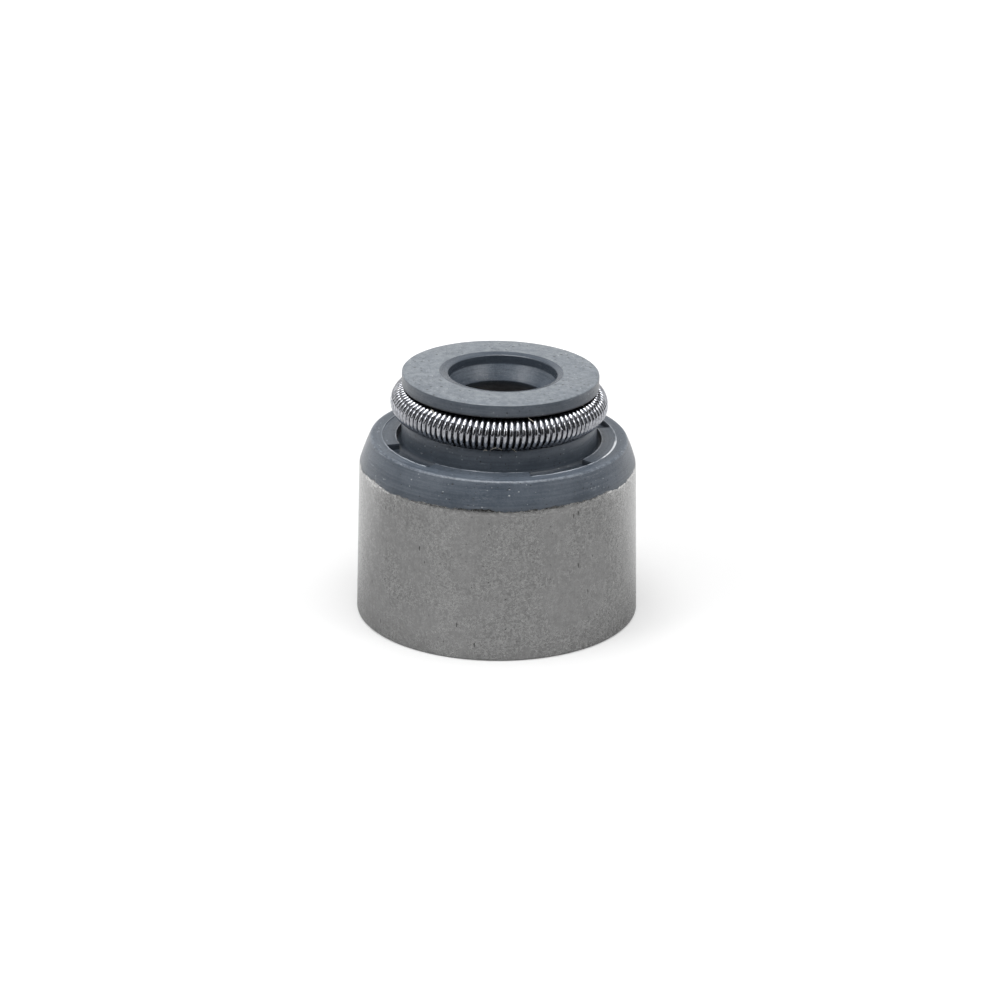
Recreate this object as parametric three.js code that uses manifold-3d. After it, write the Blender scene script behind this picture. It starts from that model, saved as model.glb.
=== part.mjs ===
// Valve stem seal for a 5 mm stem: pressed steel case, moulded rubber body, closed garter spring.
// Millimetres, +Z up. The seal stands on the case's open end, and Z is its axis.
import * as THREE from "three";
import { toCreasedNormals } from "three/addons/utils/BufferGeometryUtils.js";
import Module from "manifold-3d";

const wasm = await Module();
wasm.setup();

// Case: one cup drawn from sheet steel, its closed end pierced to leave an inward flange.
const caseDiameter = 14.0; // outside, at the open end
const caseDraft = 0.17; // the side leans in by this much on the way up
const caseHeight = 8.4; // to the top of the flange
const sheet = 0.7;
const bendOutside = 0.9; // radius
const flangeHole = 8.0;
const outerEdgeBreak = 0.15; // corners of the trimmed open edge
const innerEdgeBreak = 0.075;

// Rubber over the case: a conical shoulder up to a flat rim, with a ring recess inside the rim.
const shoulderStart = 15.1; // degrees round the case's bend, where the rubber begins
const shoulderBulge = 0.03; // the cone is barely rounded
const coverThickness = 0.64; // rubber on top of the flange, at the rim
const rimOuterDiameter = 12.74;
const rimInnerDiameter = 11.46;
const rimEdge = 0.12;

// Four pads stand in the recess. The pockets between them reach its floor.
const padCount = 4;
const padSpan = 53.3; // degrees
const padTurn = -10.3; // degrees from the front to the middle of the first pad
const padDrop = 0.04; // below the rim
const pocketDepth = 0.26; // below the pads
const trenchWidth = 0.25; // between the neck and the pads

// Neck, spring groove and head.
const neckDiameter = 9.6;
const neckFoot = 0.22; // fillet
const headDiameter = 9.66;
const headThickness = 0.69; // above the spring groove
const headEdge = 0.07;
const headDroop = 0.04; // the top face falls away a little towards its edge
const headFlatDiameter = 8.2;
const grooveEdge = 0.06;

// Garter spring.
const coilDiameter = 1.6; // outside
const wireDiameter = 0.2;
const springDiameter = 10.62; // outside
const springTurns = 108;
const springHeight = 1.88; // middle of the spring above the rim
const springClearance = 0.03; // between the spring and its groove

// Stem bore through the head, from its mouth down.
const mouthOuterDiameter = 6.07;
const mouthInnerDiameter = 5.33;
const mouthDrop = 0.08;
const mouthWall = 0.42;
const sealLipDiameter = 4.4; // stretches over a 5 mm stem
const sealLipOffset = 0.26; // above the middle of the spring
const sealLipUnder = 1.0; // height of the cone under the lip
const boreDiameter = 5.7;
const gasLipDiameter = 4.8;
const gasLipHeight = 1.15; // above the ceiling
const gasLipBack = 0.6; // height of the cone above the lip
const stopHoleDiameter = 6.8;
const stopConeHeight = 0.75;

// Rubber lining, which grips the valve guide, and the ceiling, which stops it.
const liningBore = 10.6;
const liningStart = 0.6; // above the open end
const liningLeadIn = 0.45;
const ribCount = 3;
const ribHeight = 0.15;
const ribWidth = 0.7;
const ceilingThickness = 0.6; // under the flange
const ceilingFillet = 0.25;

// Facets.
const aroundSteps = 52;
const bendSteps = 4;
const innerBendSteps = 2;
const grooveSteps = 5;
const footSteps = 2;
const padSteps = 10;
const stepsPerTurn = 8;
const wireSides = 4;

// Heights and radii that follow from the sizes above.
const caseRadius = caseDiameter / 2;
const bendHeight = caseHeight - bendOutside;
const bendRadius = caseRadius - caseDraft - bendOutside; // where the bend's centre lies
const bendInside = bendOutside - sheet;
const rimTop = caseHeight + coverThickness;
const padTop = rimTop - padDrop;
const pocketFloor = padTop - pocketDepth;
const springMiddle = rimTop + springHeight;
const springRadius = (springDiameter - coilDiameter) / 2; // of the coil's own axis
const grooveRadius = coilDiameter / 2 + springClearance;
const grooveTop = springMiddle + grooveRadius;
const grooveBottom = springMiddle - grooveRadius;
const headTop = grooveTop + headThickness;
const ceiling = caseHeight - sheet - ceilingThickness;

const sideRadius = (height) => caseRadius - (caseDraft * height) / bendHeight;

// Points [radius, height] on an arc, with angles in degrees from the outward direction.
function arc(r, z, radius, from, to, steps) {
  const points = [];
  for (let i = 0; i <= steps; i++) {
    const a = THREE.MathUtils.degToRad(from + ((to - from) * i) / steps);
    points.push([r + radius * Math.cos(a), z + radius * Math.sin(a)]);
  }
  return points;
}

// A closed surface from its points and triangles, turned right side out if it is inside out.
function surface(position, index) {
  let volume = 0;
  const at = (i) => new THREE.Vector3().fromArray(position, 3 * index[i]);
  for (let i = 0; i < index.length; i += 3) volume += at(i).dot(at(i + 1).cross(at(i + 2)));
  if (volume < 0) index.reverse();
  const geometry = new THREE.BufferGeometry();
  geometry.setAttribute("position", new THREE.Float32BufferAttribute(position, 3));
  geometry.setIndex(index);
  return geometry;
}

// Joins rings of equal size into a tube that closes on itself.
function closedTube(rings) {
  const n = rings[0].length;
  const index = [];
  for (let i = 0; i < rings.length; i++) {
    const next = (i + 1) % rings.length;
    for (let j = 0; j < n; j++) {
      const k = (j + 1) % n;
      index.push(i * n + j, next * n + j, next * n + k);
      index.push(i * n + j, next * n + k, i * n + k);
    }
  }
  return surface(rings.flat(2), index);
}

function onAxis(r, z, angle) {
  return [r * Math.cos(angle), r * Math.sin(angle), z];
}

// Turns a closed outline of [radius, height] points about Z.
function turned(outline) {
  const rings = [];
  for (let i = 0; i < aroundSteps; i++) {
    const angle = (2 * Math.PI * i) / aroundSteps;
    rings.push(outline.map(([r, z]) => onAxis(r, z, angle)));
  }
  return closedTube(rings);
}

function solidOf(geometry) {
  const vertProperties = new Float32Array(geometry.getAttribute("position").array);
  const triVerts = new Uint32Array(geometry.getIndex().array);
  return new wasm.Manifold(new wasm.Mesh({ numProp: 3, vertProperties, triVerts }));
}

function geometryOf(solid) {
  const mesh = solid.getMesh();
  return surface(Array.from(mesh.vertProperties), Array.from(mesh.triVerts));
}

// The faces where rubber and steel are bonded, from the shoulder's start round to the lining's end.
const bonded = [
  ...arc(bendRadius, bendHeight, bendOutside, shoulderStart, 90, bendSteps),
  [flangeHole / 2, caseHeight],
  [flangeHole / 2, caseHeight - sheet],
  ...arc(bendRadius, bendHeight, bendInside, 90, 0, innerBendSteps),
  [sideRadius(liningStart) - sheet, liningStart],
];

function steelCase() {
  return turned([
    [caseRadius - sheet + innerEdgeBreak, 0],
    [caseRadius - outerEdgeBreak, 0],
    [sideRadius(outerEdgeBreak), outerEdgeBreak],
    [sideRadius(bendHeight), bendHeight],
    ...bonded,
    [sideRadius(innerEdgeBreak) - sheet, innerEdgeBreak],
  ]);
}

function liningOutline() {
  const bore = liningBore / 2;
  const low = liningStart + liningLeadIn;
  const high = ceiling - ceilingFillet;
  const pitch = (high - low) / ribCount;
  const points = [
    [bore + liningLeadIn, liningStart],
    [bore, low],
  ];
  for (let i = 0; i < ribCount; i++) {
    const z = low + pitch * (i + 0.5);
    points.push([bore, z - ribWidth / 2], [bore - ribHeight, z], [bore, z + ribWidth / 2]);
  }
  points.push([bore, high], [bore - ceilingFillet, ceiling]);
  return points;
}

function boreOutline() {
  const bore = boreDiameter / 2;
  const mouth = mouthInnerDiameter / 2;
  const sealLip = springMiddle + sealLipOffset;
  const gasLip = ceiling + gasLipHeight;
  return [
    [stopHoleDiameter / 2, ceiling],
    [bore, ceiling + stopConeHeight],
    [gasLipDiameter / 2, gasLip],
    [bore, gasLip + gasLipBack],
    [bore, sealLip - sealLipUnder],
    [sealLipDiameter / 2, sealLip],
    [mouth, headTop - mouthDrop - mouthWall],
    [mouth, headTop - mouthDrop],
    [mouthOuterDiameter / 2, headTop],
  ];
}

function headOutline() {
  const outer = headDiameter / 2;
  const edgeTop = headTop - headDroop;
  // The groove's facets stand just outside its true arc, so that the spring clears them.
  const facetRadius = grooveRadius / Math.cos(Math.PI / (2 * grooveSteps));
  return [
    [headFlatDiameter / 2, headTop],
    [outer - headEdge, edgeTop],
    [outer, edgeTop - headEdge],
    [outer, grooveTop + headEdge + grooveEdge / 2],
    [outer - headEdge, grooveTop + grooveEdge / 2],
    ...arc(springRadius, springMiddle, facetRadius, 90, 270, grooveSteps),
  ];
}

function neckOutline() {
  const neck = neckDiameter / 2;
  return [
    [neck - grooveEdge, grooveBottom],
    [neck, grooveBottom - grooveEdge],
    ...arc(neck + neckFoot, pocketFloor + neckFoot, neckFoot, 180, 270, footSteps),
  ];
}

function rimOutline() {
  const inner = rimInnerDiameter / 2;
  const outer = rimOuterDiameter / 2;
  const [startRadius, startHeight] = bonded[0];
  return [
    [inner, pocketFloor],
    [inner, rimTop - rimEdge],
    [inner + rimEdge, rimTop],
    [outer - rimEdge, rimTop],
    [outer, rimTop - rimEdge],
    [(outer + startRadius) / 2 + shoulderBulge, (rimTop + startHeight) / 2],
  ];
}

// One pad: a sector that runs on into the floor and the rim, so that the join has no loose faces.
function pad(middle) {
  const inner = neckDiameter / 2 + trenchWidth;
  const outer = (rimInnerDiameter / 2 + rimOuterDiameter / 2) / 2;
  const low = pocketFloor - pocketDepth / 2;
  const corners = [[inner, low], [outer, low], [outer, padTop], [inner, padTop]];
  const position = [];
  const index = [];
  for (let i = 0; i <= padSteps; i++) {
    const angle = THREE.MathUtils.degToRad(middle - 90 + padSpan * (i / padSteps - 0.5));
    for (const [r, z] of corners) position.push(...onAxis(r, z, angle));
  }
  for (let i = 0; i < padSteps; i++) {
    for (let j = 0; j < 4; j++) {
      const a = i * 4 + j;
      const b = i * 4 + ((j + 1) % 4);
      index.push(a, a + 4, b + 4, a, b + 4, b);
    }
  }
  const last = padSteps * 4;
  index.push(0, 1, 2, 0, 2, 3);
  index.push(last, last + 2, last + 1, last, last + 3, last + 2);
  return surface(position, index);
}

function rubberBody() {
  const outline = [
    ...liningOutline(),
    ...boreOutline(),
    ...headOutline(),
    ...neckOutline(),
    ...rimOutline(),
    ...bonded,
  ];
  let body = solidOf(turned(outline));
  for (let i = 0; i < padCount; i++) {
    body = body.add(solidOf(pad(padTurn + (360 * i) / padCount)));
  }
  return geometryOf(body);
}

// The spring's wire: a helix wound round a circle and closed on itself.
function garterSpring() {
  const coil = (coilDiameter - wireDiameter) / 2;
  const steps = springTurns * stepsPerTurn;
  const wireAt = (t) => {
    const turn = springTurns * t;
    return new THREE.Vector3(...onAxis(springRadius + coil * Math.cos(turn), coil * Math.sin(turn), t));
  };
  const rings = [];
  for (let i = 0; i < steps; i++) {
    const t = (2 * Math.PI * i) / steps;
    const middle = wireAt(t);
    const along = wireAt(t + 1e-4).sub(wireAt(t - 1e-4)).normalize();
    const out = middle.clone().sub(new THREE.Vector3(...onAxis(springRadius, 0, t)));
    out.addScaledVector(along, -out.dot(along)).normalize();
    const side = along.clone().cross(out);
    const ring = [];
    for (let j = 0; j < wireSides; j++) {
      const a = (2 * Math.PI * j) / wireSides;
      const point = middle.clone().addScaledVector(out, (wireDiameter / 2) * Math.cos(a));
      point.addScaledVector(side, (wireDiameter / 2) * Math.sin(a));
      ring.push([point.x, point.y, point.z + springMiddle]);
    }
    rings.push(ring);
  }
  return closedTube(rings);
}

// A named mesh. Edges sharper than the crease angle, in degrees, are drawn crisp.
function piece(name, geometry, color, roughness, metalness, crease) {
  const material = new THREE.MeshStandardMaterial({ name, color, roughness, metalness });
  const creased = toCreasedNormals(geometry, THREE.MathUtils.degToRad(crease));
  const mesh = new THREE.Mesh(creased, material);
  mesh.name = name;
  return mesh;
}

const seal = new THREE.Group();
seal.name = "valve_stem_seal";
seal.add(piece("steel_case", steelCase(), 0x8a8a88, 0.55, 1.0, 30));
seal.add(piece("rubber_seal_body", rubberBody(), 0x5b6470, 0.55, 0.0, 30));
seal.add(piece("garter_spring", garterSpring(), 0xc4c6c8, 0.25, 1.0, 60));

export default seal;
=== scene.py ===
"""Looks for the valve stem seal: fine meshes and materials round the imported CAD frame, in metres."""

import math
import random

import bpy
import numpy as np
from mathutils import Matrix, Vector


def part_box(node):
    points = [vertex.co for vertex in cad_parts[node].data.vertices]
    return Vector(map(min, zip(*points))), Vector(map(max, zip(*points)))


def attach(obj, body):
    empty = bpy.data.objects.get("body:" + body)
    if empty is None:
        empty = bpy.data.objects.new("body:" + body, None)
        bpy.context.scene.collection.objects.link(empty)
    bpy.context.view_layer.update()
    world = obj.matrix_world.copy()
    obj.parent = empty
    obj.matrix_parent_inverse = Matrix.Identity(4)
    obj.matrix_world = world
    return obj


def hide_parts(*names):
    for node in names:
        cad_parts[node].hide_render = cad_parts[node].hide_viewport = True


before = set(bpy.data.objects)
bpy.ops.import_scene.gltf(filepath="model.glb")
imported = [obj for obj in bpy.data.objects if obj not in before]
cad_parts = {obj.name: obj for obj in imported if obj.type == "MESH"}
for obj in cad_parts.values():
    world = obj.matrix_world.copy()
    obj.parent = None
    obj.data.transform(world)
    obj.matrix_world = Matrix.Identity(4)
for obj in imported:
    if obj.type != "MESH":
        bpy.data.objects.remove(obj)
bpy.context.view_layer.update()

MM = 0.001
STEEL = "steel_case"
RUBBER = "rubber_seal_body"
SPRING = "garter_spring"

# Sizes read off the frame, in mm.
_, case_high = (Vector(c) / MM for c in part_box(STEEL))
rubber_low, rubber_high = (Vector(c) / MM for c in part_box(RUBBER))
spring_low, spring_high = (Vector(c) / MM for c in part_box(SPRING))
CASE_RADIUS = case_high.x
CASE_HEIGHT = case_high.z
LINING_START = rubber_low.z
HEAD_TOP = rubber_high.z
SPRING_OUTER = spring_high.x
SPRING_MIDDLE = (spring_low.z + spring_high.z) / 2
COIL_RADIUS = (spring_high.z - spring_low.z) / 2

# Sizes that the frame's boxes don't give, in mm. They repeat the solids' own.
SHEET = 0.7
BEND_OUTSIDE = 0.9
CASE_DRAFT = 0.17
FLANGE_HOLE = 4.0
BOUNDARY_ANGLE = 15.1  # degrees round the case's bend
SHOULDER_BULGE = 0.03
RIM_TOP = 9.04
RIM_OUTER = 6.37
RIM_INNER = 5.73
PAD_TOP = 9.0
POCKET_FLOOR = 8.74
PAD_INNER = 5.05
PAD_COUNT = 4
PAD_SPAN = 53.3
PAD_TURN = -10.3
NECK = 4.8
NECK_FOOT = 0.22
SPRING_CLEARANCE = 0.03
HEAD_RADIUS = 4.83
HEAD_DROOP = 0.04
HEAD_FLAT = 4.1
MOUTH_OUTER = 3.035
MOUTH_INNER = 2.665
MOUTH_DROP = 0.08
MOUTH_WALL = 0.42
SEAL_LIP = 2.2
SEAL_LIP_OFFSET = 0.26
SEAL_LIP_UNDER = 1.0
BORE = 2.85
GAS_LIP = 2.4
GAS_LIP_HEIGHT = 1.15
GAS_LIP_BACK = 0.6
STOP_HOLE = 3.4
STOP_CONE = 0.75
CEILING = 7.1
CEILING_FILLET = 0.25
LINING_BORE = 5.3
RIB_HEIGHT = 0.15
RIB_WIDTH = 0.7
RIB_COUNT = 3
LEAD_IN = 0.45
SPRING_TURNS = 108
WIRE = 0.2

# Small forms that only the looks have, in mm and degrees.
CASE_STEPS = 512
CASE_EDGE = 0.08
RUBBER_STEPS = 480
RIM_EDGE = 0.17
PAD_SLOPE = 0.35
BURR = 0.018
BURR_CHANGE = 0.012
RAGGED = 9.0
RAGGED_WAVES = (7, 13, 19, 27, 38, 47, 61, 79, 97, 131, 163, 201)
RAGGED_FALL = 0.45
RUBBER_PROUD = 0.007
SWELL = 0.012
WIRE_SWELL = 1.05
SPRING_SHIFT = 0.035
SPRING_WIDENED = 0.03
SPRING_LOWERED = 0.04
STEPS_PER_TURN = 40
WIRE_SIDES = 10
FIBRE_RADIUS = 0.011
FIBRE_SIDES = 6

BEND_HEIGHT = CASE_HEIGHT - BEND_OUTSIDE
BEND_CENTRE = CASE_RADIUS - CASE_DRAFT - BEND_OUTSIDE


def side_radius(z):
    return CASE_RADIUS - CASE_DRAFT * z / BEND_HEIGHT


def arc(r, z, radius, start, end, steps):
    """Points on an arc, angles in degrees from the outward direction."""
    angles = np.radians(np.linspace(start, end, steps + 1))
    return [(r + radius * math.cos(a), z + radius * math.sin(a)) for a in angles]


def rounded(points, radius, steps=3):
    """An open outline with every inner corner rounded, the radius held back where a side is short."""
    out = [points[0]]
    for before, corner, after in zip(points, points[1:], points[2:]):
        a, b, c = (np.array(p, float) for p in (before, corner, after))
        reach = min(radius, 0.45 * np.linalg.norm(a - b), 0.45 * np.linalg.norm(c - b))
        p = b + (a - b) / np.linalg.norm(a - b) * reach
        q = b + (c - b) / np.linalg.norm(c - b) * reach
        for i in range(steps + 1):
            t = i / steps
            out.append(tuple((1 - t) ** 2 * p + 2 * t * (1 - t) * b + t**2 * q))
    out.append(points[-1])
    return out


def filled(points, spacing):
    """The outline with extra points along its long sides, so that noise can move them."""
    out = []
    for a, b in zip(points, points[1:]):
        a, b = np.array(a, float), np.array(b, float)
        n = max(1, math.ceil(np.linalg.norm(b - a) / spacing))
        out += [tuple(a + (b - a) * i / n) for i in range(n)]
    out.append(points[-1])
    return out


def mesh_object(name, points, faces, smooth_angle=40):
    mesh = bpy.data.meshes.new(name)
    mesh.from_pydata([tuple(p) for p in points], [], faces)
    mesh.validate()
    mesh.update()
    obj = bpy.data.objects.new(name, mesh)
    bpy.context.scene.collection.objects.link(obj)
    mesh.shade_smooth()
    mesh.set_sharp_from_angle(angle=math.radians(smooth_angle))
    return obj


def closed_tube_faces(rings, n):
    """Quads that join rings of n points into a tube closed on itself both ways."""
    i, j = np.meshgrid(np.arange(rings), np.arange(n), indexing="ij")
    k, m = (i + 1) % rings, (j + 1) % n
    return np.stack([i * n + j, k * n + j, k * n + m, i * n + m], -1).reshape(-1, 4).tolist()


def turned(outline_at, angles):
    """Points in mm and faces of a closed outline turned about Z. The outline may change with the angle."""
    rings = []
    for a in angles:
        outline = np.array(outline_at(a))
        r, z = outline[:, 0], outline[:, 1]
        rings.append(np.stack([r * math.sin(a), -r * math.cos(a), z], -1))
    points = np.concatenate(rings)
    n = len(rings[0])
    return points, closed_tube_faces(len(rings), n)


def smooth_noise(seed, waves, reach, fall=0.0):
    """A function of the angle that repeats every turn: a sum of random waves, about reach high."""
    rng = random.Random(seed)
    parts = []
    for n in waves:
        size = rng.uniform(0.4, 1) * (waves[0] / n) ** fall / math.sqrt(len(waves))
        parts.append((n, size, rng.uniform(0, math.tau)))
    return lambda a: reach * sum(size * math.sin(n * a + phase) for n, size, phase in parts)


def in_metres(points):
    return np.asarray(points) * MM


# The head leans a little to the right in the photograph. The frame's height takes in the side that it lifts,
# so the head is lowered by as much.
LEAN = math.radians(1.0)
LEAN_START = 7.5
LEAN_FULL = 9.3
HEAD_LOWERED = 0.074
COVER_SHIFT = 0.03
MOUTH_SHIFT = 0.1


def smooth(t):
    t = np.clip(t, 0, 1)
    return t * t * (3 - 2 * t)


def leaned(points):
    """Points in mm moved as the moulding leans: not at all at the case, and most at the head."""
    x, y, z = np.asarray(points, float).T
    near_axis = np.clip((3.6 - np.hypot(x, y)) / 0.9, 0, 1)
    high_up = np.clip((z - 11.0) / 0.8, 0, 1)
    in_mouth = near_axis * high_up
    share = smooth((z - LEAN_START) / (LEAN_FULL - LEAN_START))
    x = x + COVER_SHIFT * share + MOUTH_SHIFT * in_mouth
    slope = share * math.tan(LEAN)
    lowered = HEAD_LOWERED * smooth((z - LEAN_FULL) / 0.8)
    return np.stack([x + slope * (z - LEAN_START), y, z - slope * x - lowered], -1)


def make_case():
    inside = CASE_RADIUS - SHEET
    outline = rounded(
        [
            (side_radius(LINING_START) - SHEET, LINING_START),
            (inside, 0.05),
            (inside + 0.05, 0.0),
            (CASE_RADIUS - CASE_EDGE, 0.0),
            (CASE_RADIUS, CASE_EDGE),
            (CASE_RADIUS - 0.004, 0.3),
            (side_radius(BEND_HEIGHT), BEND_HEIGHT),
        ],
        0.12,
        4,
    )
    outline = filled(outline, 0.25)[:-1]
    outline += arc(BEND_CENTRE, BEND_HEIGHT, BEND_OUTSIDE, 0, 90, 14)
    outline += [(FLANGE_HOLE, CASE_HEIGHT), (FLANGE_HOLE, CASE_HEIGHT - SHEET)]
    outline += arc(BEND_CENTRE, BEND_HEIGHT, BEND_OUTSIDE - SHEET, 90, 0, 5)
    angles = np.linspace(0, math.tau, CASE_STEPS, endpoint=False)
    points, faces = turned(lambda a: outline, angles)
    return mesh_object("case_shell", in_metres(points), faces, 50)


def pad_share(angle):
    """1 on a pad and 0 in a pocket, with a short slope between."""
    pitch = math.tau / PAD_COUNT
    off = (angle - math.radians(PAD_TURN) + pitch / 2) % pitch - pitch / 2
    slope = math.radians(PAD_SLOPE)
    return min(1.0, max(0.0, 0.5 + (math.radians(PAD_SPAN / 2) - abs(off)) / slope))


def pad_edges():
    for i in range(PAD_COUNT):
        for side in (-0.5, 0.5):
            yield math.radians(PAD_TURN + 360 * i / PAD_COUNT + side * PAD_SPAN)


def bore_outline():
    low = LINING_START + LEAD_IN
    high = CEILING - CEILING_FILLET
    pitch = (high - low) / RIB_COUNT
    points = [
        (side_radius(LINING_START) - SHEET, LINING_START),
        (LINING_BORE + LEAD_IN, LINING_START),
        (LINING_BORE, low),
    ]
    for i in range(RIB_COUNT):
        z = low + pitch * (i + 0.5)
        points.append((LINING_BORE, z - RIB_WIDTH / 2))
        points.append((LINING_BORE - RIB_HEIGHT, z))
        points.append((LINING_BORE, z + RIB_WIDTH / 2))
    gas = CEILING + GAS_LIP_HEIGHT
    seal = SPRING_MIDDLE + SEAL_LIP_OFFSET
    mouth = HEAD_TOP - MOUTH_DROP
    points += [
        (LINING_BORE, high),
        (LINING_BORE - CEILING_FILLET, CEILING),
        (STOP_HOLE, CEILING),
        (BORE, CEILING + STOP_CONE),
        (GAS_LIP, gas),
        (BORE, gas + GAS_LIP_BACK),
        (BORE, seal - SEAL_LIP_UNDER),
        (SEAL_LIP, seal),
        (MOUTH_INNER, mouth - MOUTH_WALL),
        (MOUTH_INNER, mouth),
        (MOUTH_OUTER, HEAD_TOP),
    ]
    return points


def make_rubber():
    groove = COIL_RADIUS + SPRING_CLEARANCE
    edge = HEAD_TOP - HEAD_DROOP
    top = SPRING_MIDDLE + groove
    inner = bore_outline() + [
        (HEAD_FLAT, HEAD_TOP),
        (HEAD_RADIUS, edge),
        (HEAD_RADIUS, top),
        (SPRING_OUTER - COIL_RADIUS, top),
    ]
    fixed = filled(rounded(inner, 0.06, 3), 0.5)[:-1]
    fixed += arc(SPRING_OUTER - COIL_RADIUS, SPRING_MIDDLE, groove, 90, 270, 12)[:-1]
    bottom = SPRING_MIDDLE - groove
    fixed += [
        (SPRING_OUTER - COIL_RADIUS + 0.1, bottom),
        (NECK - 0.03, bottom - 0.01),
        (NECK, bottom - 0.06),
        (NECK, 9.6),
        (NECK, 9.3),
    ]
    fixed += arc(NECK + NECK_FOOT, POCKET_FLOOR + NECK_FOOT, NECK_FOOT, 180, 265, 5)
    ragged = smooth_noise(11, RAGGED_WAVES, RAGGED, RAGGED_FALL)
    swell = smooth_noise(5, (3, 5, 8), SWELL)
    flash = smooth_noise(21, (5, 9, 16, 31, 57), 1.0)
    bend_end = arc(BEND_CENTRE, BEND_HEIGHT, BEND_OUTSIDE - SHEET, 90, 0, 5)

    def outline_at(angle):
        share = pad_share(angle)
        floor = POCKET_FLOOR + share * (PAD_TOP - POCKET_FLOOR)
        out = list(fixed)
        burr = BURR + BURR_CHANGE * flash(angle)
        out += [(PAD_INNER - 0.01, POCKET_FLOOR), (PAD_INNER, floor - 0.03 * share)]
        out += [(PAD_INNER + 0.005, floor + burr * share), (PAD_INNER + 0.035, floor + burr * share)]
        out += [(PAD_INNER + 0.07, floor), (RIM_INNER - 0.03, floor), (RIM_INNER, floor + 0.01)]
        out += [(RIM_INNER, RIM_TOP - 0.02), (RIM_INNER + 0.005, RIM_TOP + burr * (1 - share))]
        out += [(RIM_INNER + 0.04, RIM_TOP + burr * (1 - share)), (RIM_INNER + 0.08, RIM_TOP)]
        out += [((RIM_INNER + RIM_OUTER) / 2, RIM_TOP)]
        out += arc(RIM_OUTER - RIM_EDGE, RIM_TOP - RIM_EDGE, RIM_EDGE, 85, 20, 6)
        start = BOUNDARY_ANGLE + ragged(angle)
        er, ez = arc(BEND_CENTRE, BEND_HEIGHT, BEND_OUTSIDE, start, start, 0)[0]
        first = out[-1]
        for t in (0.2, 0.4, 0.6, 0.8):
            bulge = (SHOULDER_BULGE + swell(angle)) * 4 * t * (1 - t)
            r = first[0] + (er + RUBBER_PROUD - first[0]) * t + bulge
            out.append((r, first[1] + (ez - first[1]) * t))
        out += [(er + RUBBER_PROUD, ez + 0.015), (er + 0.004, ez)]
        out += arc(BEND_CENTRE, BEND_HEIGHT, BEND_OUTSIDE, start + 0.3, 90, 8)
        out += [(FLANGE_HOLE, CASE_HEIGHT), (FLANGE_HOLE, CASE_HEIGHT - SHEET)] + bend_end
        return out

    angles = list(np.linspace(0, math.tau, RUBBER_STEPS, endpoint=False))
    for e in pad_edges():
        angles += [(e + math.radians(d)) % math.tau for d in (-0.3, -0.175, 0.0, 0.175, 0.3)]
    angles = sorted(set(np.round(angles, 6)))
    points, faces = turned(outline_at, angles)
    return mesh_object("rubber_body", in_metres(leaned(points)), faces, 35)


def make_spring():
    """The wire as a helix wound round a circle and closed on itself, its turns a little uneven."""
    wire = WIRE * WIRE_SWELL
    coil = COIL_RADIUS - wire / 2
    radius = SPRING_OUTER - COIL_RADIUS + SPRING_WIDENED
    height = SPRING_MIDDLE - SPRING_LOWERED
    steps = SPRING_TURNS * STEPS_PER_TURN
    t = np.linspace(0, math.tau, steps, endpoint=False)
    turn = SPRING_TURNS * t + 0.35 * np.sin(3 * t + 1) + 0.2 * np.sin(7 * t)
    r = radius + coil * np.cos(turn)
    middle = np.stack([r * np.sin(t) - SPRING_SHIFT, -r * np.cos(t), height + coil * np.sin(turn)], -1)
    along = np.roll(middle, -1, 0) - np.roll(middle, 1, 0)
    along /= np.linalg.norm(along, axis=1, keepdims=True)
    core = np.stack([radius * np.sin(t) - SPRING_SHIFT, -radius * np.cos(t), np.full_like(t, height)], -1)
    out = middle - core
    out -= along * (out * along).sum(1, keepdims=True)
    out /= np.linalg.norm(out, axis=1, keepdims=True)
    side = np.cross(along, out)
    a = np.linspace(0, math.tau, WIRE_SIDES, endpoint=False)[None, :, None]
    points = middle[:, None] + wire / 2 * (out[:, None] * np.cos(a) + side[:, None] * np.sin(a))
    faces = closed_tube_faces(steps, WIRE_SIDES)
    return mesh_object("spring_coil", in_metres(leaned(points.reshape(-1, 3))), faces, 180)


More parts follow.
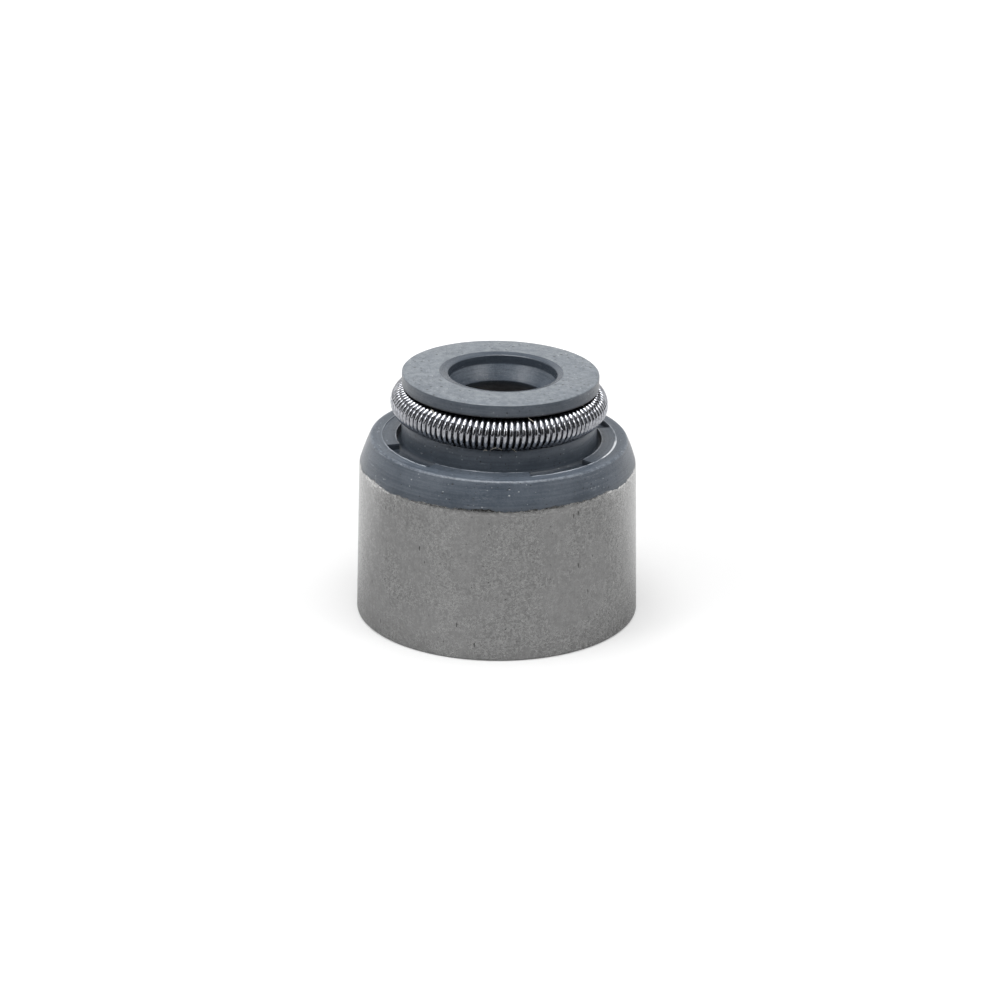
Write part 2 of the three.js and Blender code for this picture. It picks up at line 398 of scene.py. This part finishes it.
class Nodes:
    """A short way to write a material's node tree."""

    def __init__(self, owner):
        is_world = isinstance(owner, bpy.types.World)
        self.material = owner if is_world else bpy.data.materials.new(owner)
        self.material.use_nodes = True
        self.tree = self.material.node_tree
        self.tree.nodes.clear()
        output_kind = "ShaderNodeOutputWorld" if is_world else "ShaderNodeOutputMaterial"
        self.output = self.tree.nodes.new(output_kind)
        coordinates = self.tree.nodes.new("ShaderNodeTexCoord")
        self.mm = self.vector_math("SCALE", coordinates.outputs["Object"], scale=1 / MM)
        split = self.tree.nodes.new("ShaderNodeSeparateXYZ")
        self.tree.links.new(self.mm, split.inputs[0])
        self.x, self.y, self.z = split.outputs

    def put(self, socket, value):
        if isinstance(value, bpy.types.NodeSocket):
            self.tree.links.new(value, socket)
        else:
            socket.default_value = value

    def node(self, kind, **settings):
        node = self.tree.nodes.new(kind)
        for name, value in settings.items():
            setattr(node, name, value)
        return node

    def vector_math(self, operation, a, b=None, scale=None):
        node = self.node("ShaderNodeVectorMath", operation=operation)
        self.put(node.inputs[0], a)
        if b is not None:
            self.put(node.inputs[1], b)
        if scale is not None:
            node.inputs["Scale"].default_value = scale
        return node.outputs[0]

    def math(self, operation, a, b=0.0, c=0.0):
        node = self.node("ShaderNodeMath", operation=operation)
        for socket, value in zip(node.inputs, (a, b, c)):
            self.put(socket, value)
        return node.outputs[0]

    def join(self, x, y, z):
        node = self.node("ShaderNodeCombineXYZ")
        for socket, value in zip(node.inputs, (x, y, z)):
            self.put(socket, value)
        return node.outputs[0]

    def ramp(self, value, low, high, start=0.0, end=1.0):
        node = self.node("ShaderNodeMapRange", interpolation_type="SMOOTHSTEP")
        for socket, v in zip(node.inputs, (value, low, high, start, end)):
            self.put(socket, v)
        return node.outputs[0]

    def lerp(self, factor, a, b):
        node = self.node("ShaderNodeMix", data_type="FLOAT")
        for name, value in (("Factor", factor), ("A", a), ("B", b)):
            self.put(node.inputs[name], value)
        return node.outputs["Result"]

    def noise(self, scale, detail=4.0, roughness=0.6, at=None):
        node = self.node("ShaderNodeTexNoise")
        self.put(node.inputs["Vector"], at or self.mm)
        node.inputs["Scale"].default_value = scale
        node.inputs["Detail"].default_value = detail
        node.inputs["Roughness"].default_value = roughness
        return node.outputs["Fac"]

    def spots(self, scale, size, share, at):
        """1 in small spots scattered over a flat map, 0 between. Size is a spot's radius, in cells."""
        node = self.node("ShaderNodeTexVoronoi", voronoi_dimensions="2D")
        self.put(node.inputs["Vector"], at)
        node.inputs["Scale"].default_value = scale
        split = self.node("ShaderNodeSeparateColor")
        self.put(split.inputs[0], node.outputs["Color"])
        chosen = self.math("LESS_THAN", split.outputs[0], share)
        grown = self.math("MULTIPLY_ADD", split.outputs[1], size * 0.6, size * 0.4)
        beyond = self.math("SUBTRACT", node.outputs["Distance"], grown)
        near = self.ramp(beyond, -size * 0.25, size * 0.15, 1.0, 0.0)
        return self.math("MULTIPLY", chosen, near)

    def mix(self, factor, a, b):
        node = self.node("ShaderNodeMix", data_type="RGBA")
        self.put(node.inputs["Factor"], factor)
        self.put(node.inputs["A"], a)
        self.put(node.inputs["B"], b)
        return node.outputs["Result"]

    def band(self, value, low, high, soft=0.02):
        """1 between low and high, with soft sides."""
        up = self.ramp(value, low - soft, low)
        return self.math("MULTIPLY", up, self.ramp(value, high, high + soft, 1.0, 0.0))

    def near(self, place, size, at):
        """1 close to a point, in mm."""
        node = self.node("ShaderNodeVectorMath", operation="DISTANCE")
        self.put(node.inputs[0], at)
        node.inputs[1].default_value = place
        return self.ramp(node.outputs["Value"], size * 0.6, size, 1.0, 0.0)

    def most(self, *values):
        """The greatest of several values."""
        found = values[0]
        for value in values[1:]:
            found = self.math("MAXIMUM", found, value)
        return found

    def times(self, *values):
        found = values[0]
        for value in values[1:]:
            found = self.math("MULTIPLY", found, value)
        return found

    def bump(self, height, distance, strength=1.0, under=None):
        node = self.node("ShaderNodeBump")
        self.put(node.inputs["Height"], height)
        node.inputs["Distance"].default_value = distance * MM
        node.inputs["Strength"].default_value = strength
        if under is not None:
            self.put(node.inputs["Normal"], under)
        return node.outputs[0]

    def radius_about(self, x):
        """Distance from the upright axis at which the given x is 0."""
        squares = self.math("ADD", self.math("POWER", x, 2.0), self.math("POWER", self.y, 2.0))
        return self.math("SQRT", squares)

    def around(self):
        """Radius and angle round the axis."""
        return self.radius_about(self.x), self.math("ARCTAN2", self.y, self.x)

    def finish(self, **inputs):
        shader = self.node("ShaderNodeBsdfPrincipled")
        for name, value in inputs.items():
            self.put(shader.inputs[name.replace("_", " ").title().replace("Ior", "IOR")], value)
        self.put(self.output.inputs["Surface"], shader.outputs[0])
        return self.material


# Colours of the rubber. Some of them paint light and shade: the top's painted light, the flash, riser and
# crest highlights, the pockets' shade, the pad end's shadow, the foot's light, the groove's shadow, the
# bore's light and the mouth's shade.
RUBBER_DARK = (0.048, 0.061, 0.079, 1)
RUBBER_LIGHT = (0.090, 0.107, 0.131, 1)
TOP_WEAR_AND_LIGHT = (0.192, 0.212, 0.232, 1)
POCKET_SHADE = (0.02, 0.027, 0.037, 1)
FLASH_PAINTED_HIGHLIGHT = (0.40, 0.43, 0.47, 1)
RISER_PAINTED_HIGHLIGHT = (0.72, 0.74, 0.77, 1)
CREST_PAINTED_HIGHLIGHT = (0.27, 0.30, 0.34, 1)
PAD_END_PAINTED_SHADOW = (0.012, 0.014, 0.018, 1)
FOOT_PAINTED_LIGHT = (0.125, 0.16, 0.205, 1)
GROOVE_PAINTED_SHADOW = (0.008, 0.009, 0.012, 1)
BORE_PAINTED_LIGHT = (0.20, 0.19, 0.19, 1)
MOUTH_PAINTED_SHADE = (0.022, 0.03, 0.042, 1)
SCUFF_LIGHT = (0.27, 0.29, 0.32, 1)
RUBBER_PIT = (0.022, 0.025, 0.03, 1)
DUST_LIGHT = (0.46, 0.48, 0.50, 1)

# Colours of the metal and of the lint. The scuffed band's colour also paints a reflection, and the fleck
# colour also paints glints along the rubber's edge.
STEEL_DARK = (0.215, 0.215, 0.214, 1)
STEEL_LIGHT = (0.40, 0.40, 0.398, 1)
STEEL_SCUFF_AND_REFLECTION = (0.45, 0.45, 0.448, 1)
STEEL_FLECK_AND_GLINT = (0.68, 0.68, 0.665, 1)
STEEL_VEIN = (0.09, 0.09, 0.088, 1)
STEEL_PIT = (0.06, 0.06, 0.058, 1)
WIRE_DARK = (0.33, 0.34, 0.37, 1)
WIRE_LIGHT = (0.54, 0.55, 0.585, 1)
LINT_DARK = (0.55, 0.5, 0.4, 1)
LINT_LIGHT = (0.8, 0.77, 0.7, 1)

# Where the lean carries the middle of the mouth and of the recess, along X in mm.
MOUTH_CENTRE = 0.15
RECESS_CENTRE = 0.055

# Light scratches and specks on the rubber, where the photograph has them: place and reach, in mm.
LIGHT_MARKS = [
    ((-4.67, -3.03, 9.02), 0.07),
    ((-4.45, -3.25, 9.03), 0.05),
    ((-4.22, -3.42, 9.03), 0.06),
    ((-4.03, -3.56, 9.02), 0.05),
    ((-2.19, -4.27, 9.70), 0.05),
    ((-1.71, -4.49, 9.42), 0.06),
    ((-1.55, -4.56, 9.50), 0.04),
    ((-0.85, -4.72, 9.67), 0.04),
    ((-0.93, -5.76, 9.00), 0.05),
    ((-0.45, -5.89, 9.00), 0.05),
    ((4.52, -4.94, 8.21), 0.06),
    ((4.58, -4.84, 8.32), 0.05),
    ((4.65, -4.74, 8.43), 0.06),
    ((0.83, -6.55, 8.45), 0.05),
    ((1.40, -6.55, 8.20), 0.04),
]


def rubber_material():
    n = Nodes("moulded_rubber")
    radius, angle = n.around()
    rings = n.join(n.math("MULTIPLY", radius, 9.0), n.math("MULTIPLY", n.z, 9.0), angle)
    streaks = n.noise(1.0, 3.0, 0.6, rings)
    cloud = n.noise(0.7, 4.0, 0.6)
    grain = n.noise(8.0, 5.0, 0.85)
    tone = n.math("MULTIPLY_ADD", streaks, 0.35, n.math("MULTIPLY", grain, 0.35))
    tone = n.math("MULTIPLY_ADD", cloud, 0.30, tone)
    color = n.mix(n.ramp(tone, 0.38, 0.62), RUBBER_DARK, RUBBER_LIGHT)

    # Heights as they were before the lean.
    tilt = math.tan(LEAN)
    head_height = n.math("ADD", n.math("MULTIPLY_ADD", n.x, tilt, n.z), HEAD_LOWERED)
    cover_height = n.math("MULTIPLY_ADD", n.x, 0.95 * tilt, n.z)

    # The flat top is worn lighter, and is painted lighter still as painted light falling on it from above.
    mouth_radius = n.radius_about(n.math("SUBTRACT", n.x, MOUTH_CENTRE))
    on_top = n.ramp(head_height, HEAD_TOP - 0.085, HEAD_TOP - 0.055)
    on_top = n.times(on_top, n.ramp(mouth_radius, MOUTH_OUTER - 0.03, MOUTH_OUTER + 0.02))
    top_wear_and_light = n.ramp(n.noise(2.6, 6.0, 0.85), 0.40, 0.60, 0.34, 0.96)
    color = n.mix(n.times(on_top, top_wear_and_light), color, TOP_WEAR_AND_LIGHT)

    # Pocket floors are darker.
    recess_radius = n.radius_about(n.math("SUBTRACT", n.x, RECESS_CENTRE))
    in_recess = n.band(recess_radius, NECK - 0.03, RIM_INNER)
    low_down = n.times(in_recess, n.ramp(cover_height, PAD_TOP - 0.12, PAD_TOP - 0.05, 1.0, 0.0))
    low_down = n.times(low_down, n.ramp(cover_height, POCKET_FLOOR - 0.1, POCKET_FLOOR - 0.05))
    color = n.mix(n.times(low_down, 0.6), color, POCKET_SHADE)

    # The moulding flash on the recess's edges gets a painted highlight, stronger on the right than on the
    # left, and brightest on the right pad's riser.
    degrees = n.math("MULTIPLY", angle, 180 / math.pi)
    from_pad = n.math("PINGPONG", n.math("SUBTRACT", degrees, PAD_TURN), 180 / PAD_COUNT)
    in_pocket = n.ramp(from_pad, PAD_SPAN / 2 - 0.5, PAD_SPAN / 2 + 0.5)
    right_side = n.ramp(n.x, 4.3, 5.2)
    left_side = n.times(n.ramp(n.x, -4.3, -5.2), 0.5)
    rim_highlight = n.band(recess_radius, RIM_INNER - 0.02, RIM_INNER + 0.05)
    rim_highlight = n.times(rim_highlight, n.most(in_pocket, right_side, left_side))
    pad_highlight = n.times(n.band(recess_radius, PAD_INNER, PAD_INNER + 0.05), 0.8)
    flash_highlight = n.times(n.most(rim_highlight, pad_highlight), n.ramp(cover_height, PAD_TOP + 0.004, PAD_TOP + 0.014))
    flash_highlight = n.times(flash_highlight, n.ramp(n.noise(0.9, 3.0, 0.6), 0.35, 0.6, 0.35, 1.0))
    color = n.mix(n.times(flash_highlight, 0.8), color, FLASH_PAINTED_HIGHLIGHT)
    # The right pad's riser gets a nearly white painted highlight.
    riser_highlight = n.band(recess_radius, RIM_INNER - 0.04, RIM_INNER + 0.06)
    riser_highlight = n.times(riser_highlight, n.ramp(cover_height, PAD_TOP - 0.02, PAD_TOP))
    riser_highlight = n.times(riser_highlight, n.band(degrees, -27.0, -6.0, 4.0))
    color = n.mix(n.times(riser_highlight, 0.85), color, RISER_PAINTED_HIGHLIGHT)

    # The rim's outer edge gets a painted highlight, and a painted shadow darkens the front pad's end.
    crest_highlight = n.band(recess_radius, RIM_OUTER - 0.13, RIM_OUTER - 0.03)
    crest_highlight = n.times(crest_highlight, n.ramp(cover_height, RIM_TOP - 0.12, RIM_TOP - 0.08))
    crest_highlight = n.times(crest_highlight, n.ramp(n.noise(5.0, 4.0, 0.8), 0.42, 0.58))
    color = n.mix(n.times(crest_highlight, 0.32), color, CREST_PAINTED_HIGHLIGHT)
    # A painted shadow at the front pad's end.
    pad_end_shadow = n.near((1.60, -5.28, 9.0), 0.09, n.mm)
    color = n.mix(n.times(pad_end_shadow, 0.85), color, PAD_END_PAINTED_SHADOW)

    # The neck's foot gets a little painted light, the spring's groove a nearly black painted shadow, and the
    # deep bore a lighter grey as painted light.
    foot_painted_light = n.times(n.band(recess_radius, NECK - 0.1, NECK + 0.15), n.band(cover_height, 8.9, 9.8, 0.3))
    color = n.mix(n.times(foot_painted_light, 0.12), color, FOOT_PAINTED_LIGHT)
    # A painted shadow under the spring, in its groove.
    groove_low = SPRING_MIDDLE - COIL_RADIUS
    groove = n.band(head_height, groove_low + 0.04, groove_low + 1.68, 0.06)
    groove = n.times(groove, n.band(radius, 3.9, SPRING_OUTER))
    color = n.mix(n.times(groove, 0.85), color, GROOVE_PAINTED_SHADOW)
    # Painted light: the deep bore is painted a lighter grey.
    in_bore = n.times(n.ramp(radius, 2.7, 2.9, 1.0, 0.0), n.ramp(n.z, 10.6, 11.0, 1.0, 0.0))
    color = n.mix(n.times(in_bore, 0.8), color, BORE_PAINTED_LIGHT)

    # The mouth's bevel, wall and cone are glossier than the worn top and darker with painted shade, most of
    # all on the wall under the bevel.
    mouth = HEAD_TOP - MOUTH_DROP
    inside_mouth = n.ramp(mouth_radius, MOUTH_OUTER - 0.02, MOUTH_OUTER + 0.02, 1.0, 0.0)
    inside_mouth = n.times(inside_mouth, n.ramp(n.z, 11.0, 11.1))
    outside_mouth = n.math("SUBTRACT", 1.0, inside_mouth)
    wall = n.times(inside_mouth, n.band(head_height, mouth - MOUTH_WALL, mouth - 0.03, 0.03))
    bevel = n.times(inside_mouth, n.ramp(head_height, mouth - 0.02, mouth))
    shade = n.most(n.times(inside_mouth, 0.05), n.times(wall, 0.6), n.times(bevel, 0.35))
    color = n.mix(shade, color, MOUTH_PAINTED_SHADE)

    # Fine scuffs run round the piece.
    along = n.math("MULTIPLY", angle, 6.0)
    scuff_lines = n.join(along, n.math("MULTIPLY", n.z, 12.0), n.math("MULTIPLY", radius, 12.0))
    scuffs = n.ramp(n.noise(1.0, 5.0, 0.85, scuff_lines), 0.55, 0.66)
    scuffs = n.times(scuffs, n.ramp(n.noise(0.5, 2.0, 0.5), 0.42, 0.62))
    color = n.mix(n.times(scuffs, 0.55), color, SCUFF_LIGHT)

    # Dark pits, light dust and the light marks, over a flat map of the surface.
    unrolled = n.join(n.math("MULTIPLY", angle, RIM_INNER), n.math("SUBTRACT", n.z, radius), 0.0)
    surface = n.mix(on_top, unrolled, n.mm)
    top_pits = n.times(on_top, n.spots(2.9, 0.21, 0.16, surface))
    dark = n.most(n.spots(2.1, 0.12, 0.22, surface), top_pits, n.spots(5.0, 0.20, 0.10, surface))
    dark = n.times(dark, outside_mouth)
    color = n.mix(n.times(dark, 0.85), color, RUBBER_PIT)
    dust = n.most(n.spots(2.7, 0.11, 0.12, surface), n.spots(5.3, 0.18, 0.05, surface))
    dust = n.times(dust, outside_mouth, n.ramp(n.noise(0.8, 2.0, 0.5), 0.40, 0.56))
    chips = n.most(*[n.near(place, size, n.mm) for place, size in LIGHT_MARKS])
    chips = n.times(chips, n.ramp(n.noise(18.0, 2.0, 0.6), 0.42, 0.56))
    color = n.mix(n.most(n.times(dust, 0.8), n.times(chips, 0.85)), color, DUST_LIGHT)

    uneven = n.math("MULTIPLY_ADD", grain, 0.5, n.math("MULTIPLY", cloud, 0.5))
    rough = n.lerp(inside_mouth, n.ramp(uneven, 0.3, 0.7, 0.28, 0.44), 0.22)
    relief = n.bump(grain, 0.018, 0.7)
    relief = n.bump(streaks, 0.012, 0.4, relief)
    relief = n.bump(dark, -0.03, 0.6, relief)
    return n.finish(base_color=color, roughness=rough, normal=relief, ior=1.5)


def steel_material():
    n = Nodes("drawn_steel")
    radius, angle = n.around()
    arc_length = n.math("MULTIPLY", angle, CASE_RADIUS)
    upright = n.join(n.math("MULTIPLY", arc_length, 6.0), n.math("MULTIPLY", n.z, 0.9), radius)
    drawn = n.noise(1.0, 3.0, 0.6, upright)
    mottle = n.noise(2.6, 4.0, 0.7)
    grain = n.noise(7.0, 4.0, 0.9)
    patch = n.ramp(n.noise(0.45, 2.0, 0.5), 0.40, 0.58)

    # A scuffed upright band, 20 degrees left of the front, lightened by a painted reflection.
    from_band = n.math("ABSOLUTE", n.math("ADD", angle, math.radians(90 + 20)))
    band = n.ramp(from_band, math.radians(3), math.radians(13), 1.0, 0.0)
    band = n.times(band, n.ramp(n.noise(1.1, 4.0, 0.7), 0.35, 0.6))
    crisp = n.most(n.math("MULTIPLY_ADD", patch, 0.65, 0.35), band)

    tone = n.math("MULTIPLY", n.math("SUBTRACT", grain, 0.5), crisp)
    tone = n.math("MULTIPLY_ADD", n.math("SUBTRACT", mottle, 0.5), 0.22, tone)
    tone = n.math("MULTIPLY_ADD", n.math("SUBTRACT", drawn, 0.5), 0.10, tone)
    color = n.mix(n.ramp(tone, -0.16, 0.16), STEEL_DARK, STEEL_LIGHT)
    # The band's lightening is a painted reflection.
    color = n.mix(n.times(band, 0.26), color, STEEL_SCUFF_AND_REFLECTION)

    # Light flecks: all over where the grain is crisp, and thick along the rubber's edge, where they are
    # partly painted glints.
    flecks = n.times(n.ramp(n.noise(11.0, 1.0, 0.5), 0.66, 0.72), crisp, 0.42)
    dashes = n.join(n.math("MULTIPLY", arc_length, 3.6), n.math("MULTIPLY", n.z, 9.0), radius)
    near_edge = n.most(n.ramp(n.z, 7.50, 7.66), n.times(n.ramp(n.z, 7.15, 7.5), 0.45))
    edge_flecks_and_glints = n.times(n.ramp(n.noise(1.0, 3.0, 0.7, dashes), 0.52, 0.60), near_edge)
    color = n.mix(n.most(flecks, n.times(edge_flecks_and_glints, 0.58)), color, STEEL_FLECK_AND_GLINT)

    # Fine dark lines, dark pits and short upright cracks.
    veins = n.math("ABSOLUTE", n.math("SUBTRACT", n.noise(5.0, 3.0, 0.7), 0.5))
    veins = n.times(n.ramp(veins, 0.0, 0.012, 1.0, 0.0), n.math("MULTIPLY_ADD", crisp, 0.7, 0.3))
    color = n.mix(n.times(veins, 0.45), color, STEEL_VEIN)
    unrolled = n.join(arc_length, n.math("SUBTRACT", n.z, radius), 0.0)
    pits = n.times(n.spots(3.6, 0.13, 0.05, unrolled), n.math("MULTIPLY_ADD", crisp, 0.6, 0.4))
    cracked = n.join(n.math("MULTIPLY", arc_length, 3.4), n.math("MULTIPLY", n.z, 1.1), radius)
    dark = n.most(pits, n.spots(1.0, 0.13, 0.05, cracked))
    color = n.mix(n.times(dark, 0.8), color, STEEL_PIT)

    rough = n.ramp(tone, -0.2, 0.2, 0.20, 0.31)
    relief = n.bump(grain, 0.008, 0.6)
    relief = n.bump(mottle, 0.012, 0.3, relief)
    relief = n.bump(dark, -0.02, 0.5, relief)
    return n.finish(base_color=color, metallic=1.0, roughness=rough, normal=relief)


def spring_material():
    n = Nodes("spring_wire")
    fine = n.noise(6.0, 3.0, 0.6)
    color = n.mix(n.ramp(fine, 0.35, 0.6), WIRE_DARK, WIRE_LIGHT)
    rough = n.ramp(fine, 0.3, 0.7, 0.18, 0.12)
    return n.finish(base_color=color, metallic=1.0, roughness=rough, normal=n.bump(fine, 0.004, 0.4))


def lint_material():
    n = Nodes("lint")
    return n.finish(base_color=n.mix(n.noise(20.0), LINT_DARK, LINT_LIGHT), roughness=0.8)


def fibre(path):
    """A short fibre of dust: a thin round strand through the points, in mm."""
    points = []
    rings = len(path)
    n = FIBRE_SIDES
    for i, p in enumerate(path):
        before = Vector(path[max(0, i - 1)])
        after = Vector(path[min(rings - 1, i + 1)])
        along = (after - before).normalized()
        a = along.orthogonal().normalized()
        b = along.cross(a)
        thin = FIBRE_RADIUS * (0.5 if i in (0, rings - 1) else 1.0)
        for k in range(n):
            t = math.tau * k / n
            points.append(Vector(p) + thin * (a * math.cos(t) + b * math.sin(t)))
    faces = [tuple(range(n))[::-1], tuple((rings - 1) * n + k for k in range(n))]
    for i in range(rings - 1):
        for k in range(n):
            m = (k + 1) % n
            faces.append((i * n + k, i * n + m, (i + 1) * n + m, (i + 1) * n + k))
    return points, faces


# Fibres of lint caught on the spring and under it, as in the photograph, in mm.
FIBRES = [
    [(0.63, -4.93, 10.20), (0.76, -4.92, 10.12), (0.90, -4.90, 10.00)],
    [
        (-0.37, -5.02, 10.13),
        (-0.22, -5.10, 10.26),
        (-0.09, -5.12, 10.30),
        (0.08, -5.10, 10.25),
        (0.20, -5.02, 10.14),
    ],
    [(-4.95, -1.05, 11.66), (-4.88, -1.30, 11.88), (-4.72, -1.68, 12.10)],
    [(-3.21, -3.92, 11.77), (-3.12, -4.10, 11.80), (-3.03, -4.30, 11.66)],
    [(1.45, -4.86, 11.72), (1.62, -4.96, 11.62), (1.81, -4.95, 11.50)],
    [(4.03, -3.05, 11.74), (4.22, -2.98, 11.58), (4.38, -2.87, 11.38)],
    [(-0.70, -5.00, 10.06), (-0.62, -5.06, 10.18), (-0.50, -5.08, 10.12)],
]


def make_lint():
    points = []
    faces = []
    for path in FIBRES:
        more_points, more_faces = fibre(path)
        faces += [tuple(i + len(points) for i in face) for face in more_faces]
        points += more_points
    return mesh_object("lint", in_metres(points), faces, 180)


def right_side_out(obj):
    """Flips a closed mesh whose faces look inwards, which its volume tells by its sign."""
    mesh = obj.data
    volume = 0.0
    for p in mesh.polygons:
        a, b, c = (mesh.vertices[i].co for i in p.vertices[:3])
        volume += a.dot(b.cross(c))
        if len(p.vertices) == 4:
            d = mesh.vertices[p.vertices[3]].co
            volume += a.dot(c.cross(d))
    if volume < 0:
        mesh.flip_normals()


# Camera: a pinhole fitted to the photograph's edges. The axis point that it faces is AIM above the table.
CAMERA_DISTANCE = 160.0
CAMERA_ELEVATION = 21.25
CAMERA_ROLL = 0.44
FOCAL_PIXELS = 3232.4
FRAME_PIXELS = 1000
AIM = 6.4
AIM_PIXEL = (497.5, 485.17)
SENSOR = 36.0


def make_camera():
    data = bpy.data.cameras.new("camera")
    data.sensor_width = SENSOR
    data.lens = FOCAL_PIXELS / FRAME_PIXELS * SENSOR
    data.shift_x = (FRAME_PIXELS / 2 - AIM_PIXEL[0]) / FRAME_PIXELS
    data.shift_y = (AIM_PIXEL[1] - FRAME_PIXELS / 2) / FRAME_PIXELS
    data.clip_start = 0.001
    data.clip_end = 10.0
    obj = bpy.data.objects.new("camera", data)
    bpy.context.scene.collection.objects.link(obj)
    tilt = math.radians(CAMERA_ELEVATION)
    back = Vector((0, -math.cos(tilt), math.sin(tilt)))
    turn = (-back).to_track_quat("-Z", "Y").to_matrix() @ Matrix.Rotation(math.radians(CAMERA_ROLL), 3, "Z")
    place = (Vector((0, 0, AIM)) + back * CAMERA_DISTANCE) * MM
    obj.matrix_world = Matrix.Translation(place) @ turn.to_4x4()
    bpy.context.scene.camera = obj


def make_light(name, place, size, power, aim=(0, 0, 6)):
    data = bpy.data.lights.new(name, "AREA")
    data.size = size * MM
    data.energy = power
    obj = bpy.data.objects.new(name, data)
    bpy.context.scene.collection.objects.link(obj)
    obj.location = Vector(place) * MM
    obj.rotation_mode = "QUATERNION"
    obj.rotation_quaternion = (Vector(aim) - Vector(place)).to_track_quat("-Z", "Y")


# Levels of the studio, where 1 is white. Directions run from -1 to 1, and the floor's distances are in mm.
AMBIENT_FRONT = 0.12
AMBIENT_BACK = 0.28
FRONT_LEVEL = 0.05
CEILING_LEVEL = 0.35
BACKDROP_TOP = 0.55
BACKDROP_SOFT = 0.15
FLOOR_COLOR = 0.45
FLOOR_LIFT = 0.36
FLOOR_NEAR = 12.0
FLOOR_FAR = 70.0
FLOOR_HALF = 400
MIRRORED_FROM = -2.0
MIRRORED_FULL = 12.0


def make_world():
    """White to the camera. Reflections see a white backdrop, a dim ceiling and a dark room in front."""
    world = bpy.data.worlds.new("studio")
    bpy.context.scene.world = world
    n = Nodes(world)
    direction = n.node("ShaderNodeTexCoord").outputs["Generated"]
    split = n.node("ShaderNodeSeparateXYZ")
    n.put(split.inputs[0], direction)
    _, y, z = split.outputs
    behind = n.ramp(z, BACKDROP_TOP - BACKDROP_SOFT, BACKDROP_TOP + BACKDROP_SOFT, 1.0, CEILING_LEVEL)
    room = n.ramp(y, 0.0, 0.5)
    glossy = n.math("MULTIPLY_ADD", room, n.math("SUBTRACT", behind, FRONT_LEVEL), FRONT_LEVEL)
    path = n.node("ShaderNodeLightPath")
    seen = n.math("MAXIMUM", path.outputs["Is Camera Ray"], path.outputs["Is Transmission Ray"])
    ambient = n.ramp(y, -0.6, 0.6, AMBIENT_FRONT, AMBIENT_BACK)
    level = n.lerp(path.outputs["Is Glossy Ray"], ambient, glossy)
    level = n.lerp(seen, level, 1.0)
    light = n.node("ShaderNodeBackground")
    n.put(light.inputs["Strength"], level)
    n.put(n.output.inputs["Surface"], light.outputs[0])


def make_floor():
    """A plain pale floor that keeps the shadow near the part and turns white farther off.
    Reflections see it lifted towards white only beside and behind the part.
    """
    half = FLOOR_HALF * MM
    corners = [(-half, -half, 0), (half, -half, 0), (half, half, 0), (-half, half, 0)]
    mesh = bpy.data.meshes.new("floor")
    mesh.from_pydata(corners, [], [(0, 1, 2, 3)])
    obj = bpy.data.objects.new("floor", mesh)
    bpy.context.scene.collection.objects.link(obj)
    n = Nodes("pale_floor")
    path = n.node("ShaderNodeLightPath")
    seen = n.math("MAXIMUM", path.outputs["Is Camera Ray"], path.outputs["Is Transmission Ray"])
    mirrored = n.times(path.outputs["Is Glossy Ray"], n.ramp(n.y, MIRRORED_FROM, MIRRORED_FULL))
    seen = n.math("MAXIMUM", seen, mirrored)
    diffuse = n.node("ShaderNodeBsdfDiffuse")
    diffuse.inputs["Color"].default_value = (FLOOR_COLOR, FLOOR_COLOR, FLOOR_COLOR, 1)
    glow = n.node("ShaderNodeEmission")
    distance, _ = n.around()
    lift = n.ramp(distance, FLOOR_NEAR, FLOOR_FAR, FLOOR_LIFT, 1.0)
    n.put(glow.inputs["Strength"], n.times(seen, lift))
    both = n.node("ShaderNodeAddShader")
    n.put(both.inputs[0], diffuse.outputs[0])
    n.put(both.inputs[1], glow.outputs[0])
    n.put(n.output.inputs["Surface"], both.outputs[0])
    mesh.materials.append(n.material)


make_camera()
make_world()
make_floor()

# Each light's name, place and size in mm, and power in watts.
make_light("overhead", (-10, -20, 180), 150, 0.45)
make_light("left", (-175, -50, 105), 160, 0.08)
make_light("right", (175, -50, 105), 160, 0.06)
make_light("front_left", (-122, -92, 130), 45, 0.045)
make_light("front_right", (122, -92, 130), 45, 0.060)

for build, material, node, slot in (
    (make_case, steel_material, STEEL, "steel"),
    (make_rubber, rubber_material, RUBBER, "rubber"),
    (make_spring, spring_material, SPRING, "spring_steel"),
):
    piece = build()
    right_side_out(piece)
    piece.data.materials.append(material())
    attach(piece, "root")
    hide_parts(node)

lint = make_lint()
right_side_out(lint)
lint.data.materials.append(lint_material())
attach(lint, "root")

bpy.context.scene.view_settings.view_transform = "Standard"
